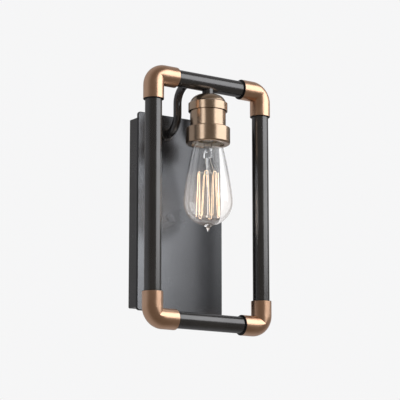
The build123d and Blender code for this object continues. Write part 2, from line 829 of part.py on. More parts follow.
def make_wire_connectors():
    """Twist-on connectors on the ends of the two wires, closed at the bottom."""
    connectors = []
    for x, z in ((-hot_connector_side, hot_connector_foot),
                 (-arm_side + wire_offset(True), neutral_connector_foot)):
        plane = Plane(origin=(x, -wire_from_wall, z))
        cone = loft([plane * Circle(connector_radius),
                     plane.offset(connector_length) * Circle(connector_mouth_radius)])
        connectors.append(cone - rod((x, -wire_from_wall, z + connector_clear_depth),
                                     (x, -wire_from_wall, z + 2 * connector_length),
                                     wire_radius + slip))
    return Compound(connectors)


# ---------------------------------------------------------------- base of the lamp

def make_lamp_screw_base():
    """The brass shell: plain skirt, thread and an inward rim at the top."""
    skirt_top = base_rim + base_skirt_length
    base = turned(Polygon(
        (base_skirt_radius, base_rim), (base_skirt_radius, skirt_top),
        (base_root_radius, skirt_top + base_taper), (base_root_radius, base_top - base_taper),
        (base_root_radius - base_taper, base_top), (base_window_radius, base_top),
        (base_window_radius, base_top - base_sheet), (base_bore - base_taper, base_top - base_sheet),
        (base_bore, base_top - base_sheet - base_taper), (base_bore, skirt_top + base_taper),
        (base_skirt_radius - base_sheet, skirt_top), (base_skirt_radius - base_sheet, base_rim),
        align=None))
    ridge = helical_ridge(lamp_ridge_start, lamp_ridge_end, thread_crest_radius - lamp_ridge_radius,
                          lamp_ridge_radius, base_root_radius)
    return base + ridge


def make_lamp_insulator():
    """The black glass plug in the top of the base."""
    window = base_window_radius - slip
    plug = base_bore - base_taper - slip
    plug_top = base_top - base_sheet
    return turned(Polygon((0, plug_top - insulator_plug), (plug, plug_top - insulator_plug),
                          (plug, plug_top), (window, plug_top), (window, base_top),
                          (lamp_contact_radius + base_taper, contact_seat), (0, contact_seat),
                          align=None))


def make_lamp_contact():
    """The soldered centre contact."""
    button = turned(Polygon((0, contact_seat + contact_gap),
                            (lamp_contact_radius, contact_seat + contact_gap),
                            (lamp_contact_radius, lamp_top), (0, lamp_top), align=None))
    return fillet(button.edges().filter_by(GeomType.CIRCLE).sort_by(Axis.Z)[-1], lamp_contact_round)


# ---------------------------------------------------------------- glass of the lamp

def glass_side(inset):
    """The long side, shoulder and neck of the glass, on the outside or moved in by the wall."""
    radius = globe_radius - inset
    angle = radians(side_start_angle)
    start = Vector(radius * cos(angle), globe_z + radius * sin(angle))
    side = TangentArc(start, (shoulder_radius - inset, lamp_tip + neck_rise - shoulder_drop),
                      tangent=(-sin(angle), cos(angle)))
    shoulder = TangentArc(side @ 1, (neck_radius - inset, lamp_tip + neck_rise - inset),
                          tangent=side % 1)
    neck = Line(shoulder @ 1, (neck_radius - inset, neck_end))
    return side, shoulder, neck


def make_glass_envelope():
    """The blown glass: long cone, round globe and the drawn tip."""
    root_angle = acos(tip_root_radius / globe_radius)
    globe = CenterArc((0, globe_z), globe_radius, -degrees(root_angle),
                      side_start_angle + degrees(root_angle))
    tip_shoulder = Vector(tip_radius, lamp_tip + tip_radius)
    drawn = TangentArc(globe @ 0, tip_shoulder, tangent=(-sin(root_angle), -cos(root_angle)))
    half = tip_radius * cos(pi / 4)
    end = ThreePointArc(tip_shoulder, (half, lamp_tip + tip_radius - half), (0, lamp_tip))
    inner_radius = globe_radius - glass_wall
    inner_globe = CenterArc((0, globe_z), inner_radius, -90, 90 + side_start_angle)
    outside, inside = glass_side(0), glass_side(glass_wall)
    return turned(outline(end, drawn, globe, *outside, Line(outside[-1] @ 1, inside[-1] @ 1),
                          *inside, inner_globe, Line((0, lamp_tip), inner_globe @ 0)))


# ---------------------------------------------------------------- mount and filament of the lamp

press_bottom = lamp_tip + press_rise
press_top = press_bottom + press_height
cage_top = lamp_tip + cage_top_rise
cage_bottom = lamp_tip + cage_bottom_rise
hook_offset = filament_radius + support_radius + support_gap
upper_hooks = cage_top - hook_offset
lower_hooks = cage_bottom + hook_offset
loop_pitch = 360 / filament_loops
upper_angles = [cage_turn + loop_pitch * (loop + 1) for loop in range(filament_loops - 1)]
lower_angles = [cage_turn + loop_pitch * (loop + 0.5) for loop in range(filament_loops)]
top_half_loop = degrees(loop_width / 2 / cage_top_radius)
bottom_half_loop = degrees(loop_width / 2 / cage_bottom_radius)


def make_glass_mount():
    """Flare, flattened press and rod, with the two buttons that hold the support wires."""
    rim = neck_radius - glass_wall - slip
    flare_foot = neck_end - flare_height
    outer = TangentArc((flare_radius, flare_foot), (rim, neck_end - flare_wall), tangent=(0, 1))
    inner = TangentArc((flare_radius - flare_wall, flare_foot), (rim - flare_wall, neck_end),
                       tangent=(0, 1))
    mount = turned(outline(
        outer, Polyline(outer @ 1, (rim, neck_end), inner @ 1), inner,
        Polyline(inner @ 0, (flare_radius - flare_wall, press_top), (0, press_top),
                 (0, press_top - flare_wall), (flare_radius, press_top - flare_wall), outer @ 0)))
    blade = RectangleRounded(press_width, press_thickness, press_thickness / 3)
    across = about_socket(1, cage_turn + 90, 0) - about_socket(0, 0, 0)
    mount += extrude(Plane(origin=(0, frame_y, press_bottom), x_dir=across) * blade,
                     amount=press_height)
    mount += rod((0, frame_y, upper_hooks), (0, frame_y, press_bottom), mount_rod_radius)
    mount += rod((0, frame_y, lower_hooks), (0, frame_y, upper_hooks), lower_rod_radius)
    for z in (upper_hooks, lower_hooks):
        button = rod((0, frame_y, z - button_height / 2), (0, frame_y, z + button_height / 2),
                     button_radius)
        mount += fillet(button.edges().filter_by(GeomType.CIRCLE), button_height / 4)
    return mount


def make_support_wires():
    """Spokes from the two buttons that hold the filament's loops."""
    spokes = []
    for angles, z, cage in ((upper_angles, upper_hooks, cage_top_radius),
                            (lower_angles, lower_hooks, cage_bottom_radius)):
        for angle in angles:
            spokes.append(rod(about_socket(button_radius, angle, z),
                              about_socket(cage + support_overhang, angle, z), support_radius))
    return Compound(spokes)


def make_lead_wires():
    """Two wires out of the press to the ends of the filament."""
    leads = []
    for side in (1, -1):
        top = about_socket(lead_spread, cage_turn + side * 90, press_bottom)
        end = about_socket(cage_top_radius, cage_turn + side * top_half_loop,
                           cage_top + lead_radius + support_gap)
        leads.append(bent_bar([top, top - Vector(0, 0, lead_drop), end], lead_bend, lead_radius))
    return Compound(leads)


def make_filament():
    """One unbroken wire that runs up and down round the cage."""
    points = [about_socket(cage_top_radius, cage_turn + top_half_loop, cage_top)]
    for loop, low in enumerate(lower_angles):
        points.append(about_socket(cage_bottom_radius, low - bottom_half_loop, cage_bottom))
        points.append(about_socket(cage_bottom_radius, low + bottom_half_loop, cage_bottom))
        if loop < len(upper_angles):
            high = upper_angles[loop]
            points.append(about_socket(cage_top_radius, high - top_half_loop, cage_top))
            points.append(about_socket(cage_top_radius, high + top_half_loop, cage_top))
    points.append(about_socket(cage_top_radius, cage_turn - top_half_loop, cage_top))
    return bent_bar(points, 0.45 * loop_width, filament_radius)


# ---------------------------------------------------------------- all pieces

pieces = {
    "front_plate": make_front_plate(),
    "back_box": make_back_box(),
    "plate_nuts": make_plate_nuts(),
    "wall_strap": make_wall_strap(),
    "box_screws": make_box_screws(),
    "ground_screws": make_ground_screws(),
    "ground_wire": make_ground_wire(),
    "arm_left": make_arm(-arm_side),
    "arm_right": make_arm(arm_side),
    "arm_collar_left": make_arm_collar(-arm_side),
    "arm_collar_right": make_arm_collar(arm_side),
    "arm_washers": make_arm_washers(),
    "arm_nuts": make_arm_nuts(),
    "top_pipe": make_top_pipe(),
    "bottom_pipe": make_bottom_pipe(),
    "left_pipe": make_side_pipe(-frame_side),
    "right_pipe": make_side_pipe(frame_side),
    "elbow_top_left": make_elbow(-1, 1),
    "elbow_top_right": make_elbow(1, 1),
    "elbow_bottom_left": make_elbow(-1, -1),
    "elbow_bottom_right": make_elbow(1, -1),
    "socket_stem": make_socket_stem(),
    "stem_nut": make_stem_nut(),
    "socket_cap": make_socket_cap(),
    "socket_body": make_socket_body(),
    "shade_ring": make_shade_ring(),
    "insulating_liner": make_insulating_liner(),
    "socket_core": make_socket_core(),
    "screw_shell": make_screw_shell(),
    "contact_tongue": make_contact_tongue(),
    "core_rivets": make_core_rivets(),
    "terminal_plates": make_terminal_plates(),
    "terminal_screws": make_terminal_screws(),
    "hot_wire": make_hot_wire(),
    "neutral_wire": make_neutral_wire(),
    "wire_connectors": make_wire_connectors(),
    "lamp_screw_base": make_lamp_screw_base(),
    "lamp_insulator": make_lamp_insulator(),
    "lamp_contact": make_lamp_contact(),
    "glass_envelope": make_glass_envelope(),
    "glass_mount": make_glass_mount(),
    "support_wires": make_support_wires(),
    "lead_wires": make_lead_wires(),
    "filament": make_filament(),
}

os.makedirs("parts", exist_ok=True)
for name, shape in pieces.items():
    export_step(shape, f"parts/{name}.step")
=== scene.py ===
import math

import bpy
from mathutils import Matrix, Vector


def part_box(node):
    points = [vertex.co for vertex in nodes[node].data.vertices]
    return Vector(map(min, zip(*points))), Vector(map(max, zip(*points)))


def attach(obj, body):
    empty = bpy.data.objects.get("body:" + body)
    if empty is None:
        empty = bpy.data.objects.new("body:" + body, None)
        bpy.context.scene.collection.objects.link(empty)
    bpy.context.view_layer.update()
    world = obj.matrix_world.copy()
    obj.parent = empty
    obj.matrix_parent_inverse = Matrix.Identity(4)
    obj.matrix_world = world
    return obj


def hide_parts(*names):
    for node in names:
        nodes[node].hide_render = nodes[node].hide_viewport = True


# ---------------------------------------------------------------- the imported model
# Industrial pipe wall light with one bare lamp. The wall is the plane Y = 0 and the room lies towards -Y.
# Every length here is in metres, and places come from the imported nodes.
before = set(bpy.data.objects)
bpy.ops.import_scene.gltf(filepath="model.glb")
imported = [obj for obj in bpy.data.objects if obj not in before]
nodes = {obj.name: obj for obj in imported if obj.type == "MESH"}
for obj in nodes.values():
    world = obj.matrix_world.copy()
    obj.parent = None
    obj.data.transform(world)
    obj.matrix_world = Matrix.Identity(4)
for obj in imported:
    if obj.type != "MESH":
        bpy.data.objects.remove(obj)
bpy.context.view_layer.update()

# ---------------------------------------------------------------- camera
# A long lens at the left front of the light, a little below it and looking up, so that upright edges
# stay almost parallel. Only the lens and the film are in millimetres.


def new_object(name, data):
    """An object at the origin, linked into the scene."""
    made = bpy.data.objects.new(name, data)
    bpy.context.scene.collection.objects.link(made)
    return made


def place_facing(thing, target, azimuth, elevation, distance):
    """Puts a camera or a lamp at an azimuth and an elevation in degrees, turned to face its target."""
    around, up = math.radians(azimuth), math.radians(elevation)
    away = Vector((math.sin(around) * math.cos(up), -math.cos(around) * math.cos(up), math.sin(up)))
    thing.location = target + away * distance
    thing.rotation_mode = "QUATERNION"
    thing.rotation_quaternion = away.to_track_quat("Z", "Y")


focal_length, film_width = 150.66, 36.0
near_limit, far_limit = 0.05, 50.0
view_target = Vector((0.05775, 0.01082, 0.03194))

camera = new_object("camera", bpy.data.cameras.new("camera"))
camera.data.lens = focal_length
camera.data.sensor_width = film_width
camera.data.clip_start = near_limit
camera.data.clip_end = far_limit
place_facing(camera, view_target, azimuth=-35.0, elevation=-11.03, distance=2.2207)
bpy.context.scene.camera = camera

# ---------------------------------------------------------------- studio
# A large softbox at the right front, a narrow one at the left for the lamp holder and a small one close
# to the plate. The camera and the glass see a white room, and metal sees one that is dark in front.
bpy.context.scene.view_settings.view_transform = "Standard"
light_centre = Vector((0.0, -0.06, 0.0))


def softbox(name, azimuth, elevation, distance, width, height, power, lit=()):
    """An area light that faces the object. Where nodes are named in lit, it lights them alone."""
    lamp = bpy.data.lights.new(name, "AREA")
    lamp.shape = "RECTANGLE"
    lamp.size, lamp.size_y = width, height
    lamp.energy = power
    box = new_object(name, lamp)
    place_facing(box, light_centre, azimuth, elevation, distance)
    if lit:
        receivers = bpy.data.collections.new(name + "_lit")
        box.light_linking.receiver_collection = receivers
        for node in lit:
            receivers.objects.link(nodes[node])


softbox("softbox_right", azimuth=40, elevation=27, distance=1.3, width=1.6, height=1.1, power=10.5)
softbox("strip_left", azimuth=-64, elevation=8, distance=1.3, width=0.46, height=1.5, power=3.2,
        lit=("socket_cap", "socket_body", "shade_ring"))
softbox("sheet_glow", azimuth=25, elevation=13, distance=0.42, width=0.12, height=0.45, power=0.75,
        lit=("front_plate", "back_box"))


def add_node(tree, kind, inputs=None, **settings):
    """A node with its settings by name, and its inputs as plain values or as outputs to link to them."""
    node = tree.nodes.new(kind)
    for setting, value in settings.items():
        setattr(node, setting, value)
    for socket, value in (inputs or {}).items():
        if isinstance(value, bpy.types.NodeSocket):
            tree.links.new(value, node.inputs[socket])
        else:
            node.inputs[socket].default_value = value
    return node


def maths(tree, operation, *terms, clamp=False):
    """The result of a sum on plain numbers or other nodes' outputs."""
    node = add_node(tree, "ShaderNodeMath", dict(enumerate(terms)), operation=operation,
                    use_clamp=clamp)
    return node.outputs[0]


def mix_colours(tree, share, first, second):
    """The first colour where the share is 0 and the second where it is 1."""
    node = add_node(tree, "ShaderNodeMix", {"Factor": share, "A": first, "B": second},
                    data_type="RGBA")
    return node.outputs["Result"]


def mix_shaders(tree, share, first, second):
    """A node that gives the first shader where the share is 0 and the second where it is 1."""
    return add_node(tree, "ShaderNodeMixShader", {"Fac": share, 1: first.outputs[0],
                                                  2: second.outputs[0]})


backdrop_white = (0.921, 0.921, 0.925, 1.0)
room_front, room_back = (0.15, 0.13, 0.11, 1.0), (0.36, 0.35, 0.35, 1.0)
room_blend = 0.35
ambient_strength = 0.55

world = bpy.data.worlds.new("studio")
bpy.context.scene.world = world
world.use_nodes = True
tree = world.node_tree
tree.nodes.clear()
direction = add_node(tree, "ShaderNodeTexCoord").outputs["Generated"]
depth = add_node(tree, "ShaderNodeSeparateXYZ", {0: direction}).outputs["Y"]
share = add_node(tree, "ShaderNodeMapRange", {"Value": depth, "From Min": -room_blend,
                                              "From Max": room_blend}).outputs["Result"]
room = add_node(tree, "ShaderNodeBackground", {"Color": mix_colours(tree, share, room_front, room_back)})
ambient = add_node(tree, "ShaderNodeBackground", {"Color": backdrop_white,
                                                  "Strength": ambient_strength})
white = add_node(tree, "ShaderNodeBackground", {"Color": backdrop_white})
paths = add_node(tree, "ShaderNodeLightPath").outputs
seen = maths(tree, "MAXIMUM", paths["Is Camera Ray"], paths["Is Transmission Ray"])
unseen_world = mix_shaders(tree, paths["Is Glossy Ray"], ambient, room)
add_node(tree, "ShaderNodeOutputWorld",
         {"Surface": mix_shaders(tree, seen, unseen_world, white).outputs[0]})

# ---------------------------------------------------------------- floor
# A pale matt floor well below the light. It shows from above alone, and metal does not reflect it, so
# that the light looks the same over any floor.


def new_material(name, sockets):
    """A material, its node tree and its shader, with plain values on the shader's own sockets."""
    material = bpy.data.materials.new(name)
    material.use_nodes = True
    shader = material.node_tree.nodes["Principled BSDF"]
    for socket, value in sockets.items():
        shader.inputs[socket].default_value = value
    return material, material.node_tree, shader


floor_height, floor_half = -0.55, 6.0
floor_mesh = bpy.data.meshes.new("floor")
floor_mesh.from_pydata([(x * floor_half, y * floor_half, floor_height)
                        for x, y in ((-1, -1), (1, -1), (1, 1), (-1, 1))], [], [(0, 1, 2, 3)])
floor = new_object("floor", floor_mesh)

floor_paint, tree, paint = new_material("floor_paint", {"Base Color": (0.80, 0.80, 0.80, 1.0),
                                                        "Roughness": 0.9})
below = add_node(tree, "ShaderNodeNewGeometry").outputs["Backfacing"]
glossy = add_node(tree, "ShaderNodeLightPath").outputs["Is Glossy Ray"]
clear = add_node(tree, "ShaderNodeBsdfTransparent")
one_sided = mix_shaders(tree, maths(tree, "MAXIMUM", below, glossy), paint, clear)
tree.links.new(one_sided.outputs[0], tree.nodes["Material Output"].inputs["Surface"])
floor_mesh.materials.append(floor_paint)

# ---------------------------------------------------------------- front plate and back box
# Pressed and folded steel sheet under one satin black powder coat, fine grained and a little uneven in
# gloss. The box behind the plate catches less light, so its coat is a shade lighter here.


def finish_nodes(node_names, material):
    """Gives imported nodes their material."""
    for name in node_names:
        mesh = nodes[name].data
        mesh.materials.clear()
        mesh.materials.append(material)


def new_group(name, inputs, outputs):
    """An empty shader node group with its sockets, and its two end nodes."""
    group = bpy.data.node_groups.new(name, "ShaderNodeTree")
    for socket, kind, value in inputs:
        made = group.interface.new_socket(socket, in_out="INPUT", socket_type=kind)
        made.default_value = value
    for socket, kind in outputs:
        group.interface.new_socket(socket, in_out="OUTPUT", socket_type=kind)
    return group, group.nodes.new("NodeGroupInput"), group.nodes.new("NodeGroupOutput")


def make_patch_group():
    """Soft uneven patches: a mask from 0 to 1 that varies slowly over the surface."""
    group, start, end = new_group("soft_patches",
                                  [("Vector", "NodeSocketVector", (0, 0, 0)),
                                   ("Scale", "NodeSocketFloat", 30.0),
                                   ("Contrast", "NodeSocketFloat", 0.5)],
                                  [("Mask", "NodeSocketFloat")])
    gain_span, middle = 6.0, 0.5
    noise = add_node(group, "ShaderNodeTexNoise",
                     {"Vector": start.outputs["Vector"], "Scale": start.outputs["Scale"],
                      "Detail": 4.0, "Roughness": 0.55})
    gain = maths(group, "MULTIPLY_ADD", start.outputs["Contrast"], gain_span, 1.0)
    swing = maths(group, "MULTIPLY", maths(group, "SUBTRACT", noise.outputs["Fac"], middle), gain)
    mask = maths(group, "ADD", swing, middle, clamp=True)
    group.links.new(mask, end.inputs["Mask"])
    return group


def make_grain_group():
    """Lines or grains: noise on coordinates stretched along chosen axes, as a height."""
    group, start, end = new_group("drawn_grain",
                                  [("Vector", "NodeSocketVector", (0, 0, 0)),
                                   ("Stretch", "NodeSocketVector", (1, 1, 1)),
                                   ("Scale", "NodeSocketFloat", 400.0)],
                                  [("Height", "NodeSocketFloat")])
    drawn = add_node(group, "ShaderNodeVectorMath",
                     {0: start.outputs["Vector"], 1: start.outputs["Stretch"]}, operation="MULTIPLY")
    noise = add_node(group, "ShaderNodeTexNoise",
                     {"Vector": drawn.outputs[0], "Scale": start.outputs["Scale"],
                      "Detail": 3.0, "Roughness": 0.6})
    group.links.new(noise.outputs["Fac"], end.inputs["Height"])
    return group


soft_patches = make_patch_group()
drawn_grain = make_grain_group()
grain_depth = 0.0002
patch_share = 0.5


def object_place(tree):
    """Object coordinates, so that a pattern stays fixed in its piece."""
    return add_node(tree, "ShaderNodeTexCoord").outputs["Object"]


def patches(tree, place, scale, contrast):
    """The mask of soft patches at a place of the surface."""
    node = add_node(tree, "ShaderNodeGroup", {"Vector": place, "Scale": scale, "Contrast": contrast},
                    node_tree=soft_patches)
    return node.outputs["Mask"]


def surface(name, light, dark, roughness, patch_scale, contrast, grain_scale, bump,
            stretch=(1, 1, 1), metallic=0.0, coat=0.0, coat_roughness=0.2):
    """A material whose colour and gloss drift between two values, with fine grain in its height."""
    material, tree, shader = new_material(name, {"Metallic": metallic, "Coat Weight": coat,
                                                 "Coat Roughness": coat_roughness})
    place = object_place(tree)
    grain = add_node(tree, "ShaderNodeGroup", {"Vector": place, "Stretch": stretch,
                                               "Scale": grain_scale},
                     node_tree=drawn_grain).outputs["Height"]
    drift = maths(tree, "MULTIPLY_ADD", patches(tree, place, patch_scale, contrast), patch_share,
                  maths(tree, "MULTIPLY", grain, 1.0 - patch_share))
    colour = mix_colours(tree, drift, (*dark, 1.0), (*light, 1.0))
    gloss = add_node(tree, "ShaderNodeMapRange", {"Value": drift, "To Min": roughness[0],
                                                  "To Max": roughness[1]})
    relief = add_node(tree, "ShaderNodeBump", {"Height": grain, "Strength": bump,
                                               "Distance": grain_depth})
    tree.links.new(colour, shader.inputs["Base Color"])
    tree.links.new(gloss.outputs["Result"], shader.inputs["Roughness"])
    tree.links.new(relief.outputs["Normal"], shader.inputs["Normal"])
    return material


def powder_coat(name, light, dark):
    """The powder coat of one sheet."""
    return surface(name, light=light, dark=dark, roughness=(0.24, 0.29), patch_scale=18.0,
                   contrast=0.4, grain_scale=1500.0, bump=0.02, metallic=0.9)


finish_nodes(["front_plate"], powder_coat("plate_coat", light=(0.080, 0.083, 0.089),
                                          dark=(0.064, 0.066, 0.071)))
finish_nodes(["back_box"], powder_coat("box_coat", light=(0.135, 0.136, 0.140),
                                       dark=(0.110, 0.111, 0.114)))

# ---------------------------------------------------------------- wall strap, screws and nuts
# Zinc-plated steel: the strap is punched and folded, the screws and nuts are bought in. The plating is
# bright with a faint drawn grain and cloudy patches.
zinc_plate = surface("zinc_plate", light=(0.62, 0.63, 0.65), dark=(0.42, 0.43, 0.45),
                     roughness=(0.24, 0.42), patch_scale=90.0, contrast=0.8,
                     stretch=(1, 1, 0.08), grain_scale=1200.0, bump=0.15, metallic=1.0)
finish_nodes(["wall_strap", "box_screws", "ground_screws", "plate_nuts", "arm_washers", "arm_nuts",
              "stem_nut"], zinc_plate)

# ---------------------------------------------------------------- threads on the studs
# Rolled threads on the four studs that are welded behind the plate, from each nut to near the stud's
# end. A thread is one helix of round section that stands a little out of its bar.


def socket_id(group, name):
    """The identifier of a geometry node group's input."""
    return next(item.identifier for item in group.interface.items_tree
                if item.item_type == "SOCKET" and item.in_out == "INPUT" and item.name == name)


def new_geometry_group(name, inputs):
    """A geometry node group with a Geometry socket at both ends, its named inputs and its end nodes."""
    group = bpy.data.node_groups.new(name, "GeometryNodeTree")
    sockets = {"Geometry": "NodeSocketGeometry", **inputs, "Material": "NodeSocketMaterial"}
    for socket, kind in sockets.items():
        group.interface.new_socket(socket, in_out="INPUT", socket_type=kind)
    group.interface.new_socket("Geometry", in_out="OUTPUT", socket_type="NodeSocketGeometry")
    return group, group.nodes.new("NodeGroupInput"), group.nodes.new("NodeGroupOutput")


def end_group(group, start, end, geometry):
    """Ends a group in Realize Instances and Set Material."""
    real = add_node(group, "GeometryNodeRealizeInstances", {"Geometry": geometry})
    coat = add_node(group, "GeometryNodeSetMaterial", {"Geometry": real.outputs["Geometry"],
                                                       "Material": start.outputs["Material"]})
    group.links.new(coat.outputs["Geometry"], end.inputs["Geometry"])
    return group


def plain_mesh(source, name):
    """The finished mesh of a curve or of an object with modifiers. The source is removed."""
    graph = bpy.context.evaluated_depsgraph_get()
    mesh = bpy.data.meshes.new_from_object(source.evaluated_get(graph))
    mesh.name = name
    bpy.data.objects.remove(source)
    return mesh


def grown_piece(name, group, places, values, material):
    """Runs a geometry node group on points and gives back its result as a plain piece."""
    seeds = bpy.data.meshes.new(name + "_seeds")
    seeds.from_pydata(places, [], [])
    source = new_object(name + "_seeds", seeds)
    grow = source.modifiers.new("grow", "NODES")
    grow.node_group = group
    for socket, value in values.items():
        grow[socket_id(group, socket)] = value
    grow[socket_id(group, "Material")] = material
    return new_object(name, plain_mesh(source, name))


def make_thread_group():
    """A helix of round section at each point, its axis tilted from Z about X."""
    group, start, end = new_geometry_group("rolled_thread", {"Bar Radius": "NodeSocketFloat",
                                                             "Ridge Radius": "NodeSocketFloat",
                                                             "Length": "NodeSocketFloat",
                                                             "Turns": "NodeSocketFloat",
                                                             "Tilt": "NodeSocketFloat"})
    given = start.outputs
    helix = add_node(group, "GeometryNodeCurveSpiral",
                     {"Resolution": 24, "Rotations": given["Turns"], "Height": given["Length"],
                      "Start Radius": given["Bar Radius"], "End Radius": given["Bar Radius"]})
    section = add_node(group, "GeometryNodeCurvePrimitiveCircle",
                       {"Resolution": 6, "Radius": given["Ridge Radius"]})
    skin = add_node(group, "GeometryNodeCurveToMesh",
                    {"Curve": helix.outputs["Curve"], "Profile Curve": section.outputs["Curve"],
                     "Fill Caps": True})
    tilt = add_node(group, "ShaderNodeCombineXYZ", {"X": given["Tilt"]})
    placed = add_node(group, "GeometryNodeInstanceOnPoints",
                      {"Points": given["Geometry"], "Instance": skin.outputs["Mesh"],
                       "Rotation": tilt.outputs["Vector"]})
    return end_group(group, start, end, placed.outputs["Instances"])


rolled_thread = make_thread_group()
ridge_share = 0.28
sunk_share = 0.5


def thread_piece(name, axes, first_y, last_y, bar_radius, pitch, material):
    """Threads on bars along Y, which stand at the given X and Z."""
    ridge = ridge_share * pitch
    length = last_y - first_y
    piece = grown_piece(name, rolled_thread, [(x, first_y, z) for x, z in axes],
                        {"Bar Radius": bar_radius - sunk_share * ridge, "Ridge Radius": ridge,
                         "Length": length, "Turns": length / pitch, "Tilt": -math.pi / 2}, material)
    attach(piece, "root")


stud_pitch, stud_radius = 0.0007, 0.0020
stud_nut_gap, stud_end_gap = 0.0002, 0.0004
nut_flat = 0.0035
nut_corner = nut_flat / math.cos(math.radians(30))
nut_low, nut_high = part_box("plate_nuts")
stud_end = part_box("front_plate")[1].y
stud_axes = [(x, z) for x in (nut_low.x + nut_flat, nut_high.x - nut_flat)
             for z in (nut_low.z + nut_corner, nut_high.z - nut_corner)]
thread_piece("stud_threads", stud_axes, nut_high.y + stud_nut_gap, stud_end - stud_end_gap,
             stud_radius, stud_pitch, zinc_plate)

# ---------------------------------------------------------------- ground wire
# Bare copper wire, bent round the two grounding screws in pressed eyelets. The metal is bright, with
# duller brown patches from handling.
bare_copper = surface("bare_copper", light=(0.80, 0.44, 0.28), dark=(0.46, 0.22, 0.13),
                      roughness=(0.22, 0.45), patch_scale=250.0, contrast=0.8,
                      grain_scale=2000.0, bump=0.1, metallic=1.0)
finish_nodes(["ground_wire"], bare_copper)

# ---------------------------------------------------------------- pipes
# Drawn steel tubes in satin black lacquer, smooth, with a barely visible grain along their length. They
# slip into the elbows at both ends.


def satin_black(name, stretch=(1, 1, 1)):
    """The black lacquer, with its grain drawn out along one axis."""
    return surface(name, light=(0.148, 0.149, 0.153), dark=(0.118, 0.119, 0.122),
                   roughness=(0.20, 0.24), patch_scale=25.0, contrast=0.5, stretch=stretch,
                   grain_scale=1800.0, bump=0.015, metallic=0.9)


finish_nodes(["top_pipe", "bottom_pipe"], satin_black("level_black", (0.03, 1, 1)))
finish_nodes(["left_pipe", "right_pipe"], satin_black("upright_black", (1, 1, 0.03)))

# ---------------------------------------------------------------- arms, collars and stem
# Bent tubes from the plate to the top pipe, each through a ring on the plate, and the short neck over
# the lamp holder, in the pipes' satin black. Cut threads on the arms' ends carry their nuts.
arm_black = satin_black("arm_black")
finish_nodes(["arm_left", "arm_right", "arm_collar_left", "arm_collar_right", "socket_stem"],
             arm_black)

arm_pitch, arm_thread_gap = 0.0010, 0.0003
arm_nut_low, arm_nut_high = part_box("arm_nuts")
arm_low, arm_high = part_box("arm_left")
arm_radius = (arm_high.x - arm_low.x) / 2
arm_side = -(arm_high.x + arm_low.x) / 2
arm_height = (arm_nut_low.z + arm_nut_high.z) / 2
thread_piece("arm_threads", [(-arm_side, arm_height), (arm_side, arm_height)],
             arm_nut_high.y + arm_thread_gap, arm_high.y - arm_thread_gap, arm_radius, arm_pitch,
             arm_black)

# ---------------------------------------------------------------- elbows
# Cast elbows in aged brass with a coppery tone, brushed and lacquered. The faces at each open end, where
# the pipes slip in, and a thin band of the outside next to them get a second, black material.
aged_brass = surface("aged_brass", light=(0.90, 0.60, 0.42), dark=(0.76, 0.47, 0.31),
                     roughness=(0.27, 0.35), patch_scale=55.0, contrast=0.6,
                     stretch=(0.25, 1, 0.25), grain_scale=1400.0, bump=0.03, metallic=1.0,
                     coat=0.4, coat_roughness=0.2)
rim_black = surface("rim_black", light=(0.012, 0.012, 0.012), dark=(0.006, 0.006, 0.006),
                    roughness=(0.4, 0.5), patch_scale=80.0, contrast=0.5,
                    grain_scale=1500.0, bump=0.1)
elbows = ["elbow_top_left", "elbow_top_right", "elbow_bottom_left", "elbow_bottom_right"]
finish_nodes(elbows, aged_brass)

# A black band at each open end: the faces whose centres lie within rim_band of the elbow's end planes.
rim_band = 0.0008
frame_middle = (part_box("left_pipe")[0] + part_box("right_pipe")[1]) / 2
for name in elbows:
    mesh = nodes[name].data
    mesh.materials.append(rim_black)
    low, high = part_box(name)
    rim_x = low.x if low.x > frame_middle.x else high.x
    rim_z = low.z if low.z > frame_middle.z else high.z
    for face in mesh.polygons:
        if abs(face.center.x - rim_x) < rim_band or abs(face.center.z - rim_z) < rim_band:
            face.material_index = 1

# ---------------------------------------------------------------- cap, body and ring of the lamp holder
# Spun brass in a champagne bronze finish, with fine rings from the lathe under a thin clear lacquer.
# The cap hangs on the stem, and the ring is screwed round the body.
spun_bronze = surface("spun_bronze", light=(0.60, 0.45, 0.33), dark=(0.50, 0.36, 0.25),
                      roughness=(0.22, 0.28), patch_scale=60.0, contrast=0.4,
                      stretch=(0.02, 0.02, 1), grain_scale=1500.0, bump=0.05, metallic=1.0,
                      coat=0.6, coat_roughness=0.15)
finish_nodes(["socket_cap", "socket_body", "shade_ring"], spun_bronze)

# ---------------------------------------------------------------- inside the lamp holder
# A sleeve of brown fibre, a glazed ceramic core, and the stamped brass parts that carry the current:
# shell, tongue, rivets, terminal plates and their screws.
fibre = surface("fibre", light=(0.36, 0.26, 0.15), dark=(0.24, 0.16, 0.085),
                roughness=(0.65, 0.85), patch_scale=120.0, contrast=0.8,
                stretch=(1, 1, 0.1), grain_scale=900.0, bump=0.3)
finish_nodes(["insulating_liner"], fibre)
glazed_ceramic = surface("glazed_ceramic", light=(0.80, 0.78, 0.72), dark=(0.68, 0.65, 0.58),
                         roughness=(0.12, 0.25), patch_scale=80.0, contrast=0.5,
                         grain_scale=500.0, bump=0.1)
finish_nodes(["socket_core"], glazed_ceramic)
bright_brass = surface("bright_brass", light=(0.84, 0.62, 0.30), dark=(0.60, 0.40, 0.17),
                       roughness=(0.18, 0.32), patch_scale=150.0, contrast=0.7,
                       stretch=(1, 1, 0.1), grain_scale=1500.0, bump=0.1, metallic=1.0)
finish_nodes(["screw_shell", "contact_tongue", "core_rivets", "terminal_plates",
              "terminal_screws"], bright_brass)

# ---------------------------------------------------------------- supply wires and connectors
# Stranded wire in smooth insulation, one black and one white, from the lamp holder to the box. Each
# ends in a moulded twist-on connector with rounded ribs for the fingers.


def insulation(name, light, dark):
    """The smooth plastic cover of a wire."""
    return surface(name, light=light, dark=dark, roughness=(0.35, 0.5), patch_scale=100.0,
                   contrast=0.5, grain_scale=900.0, bump=0.1)


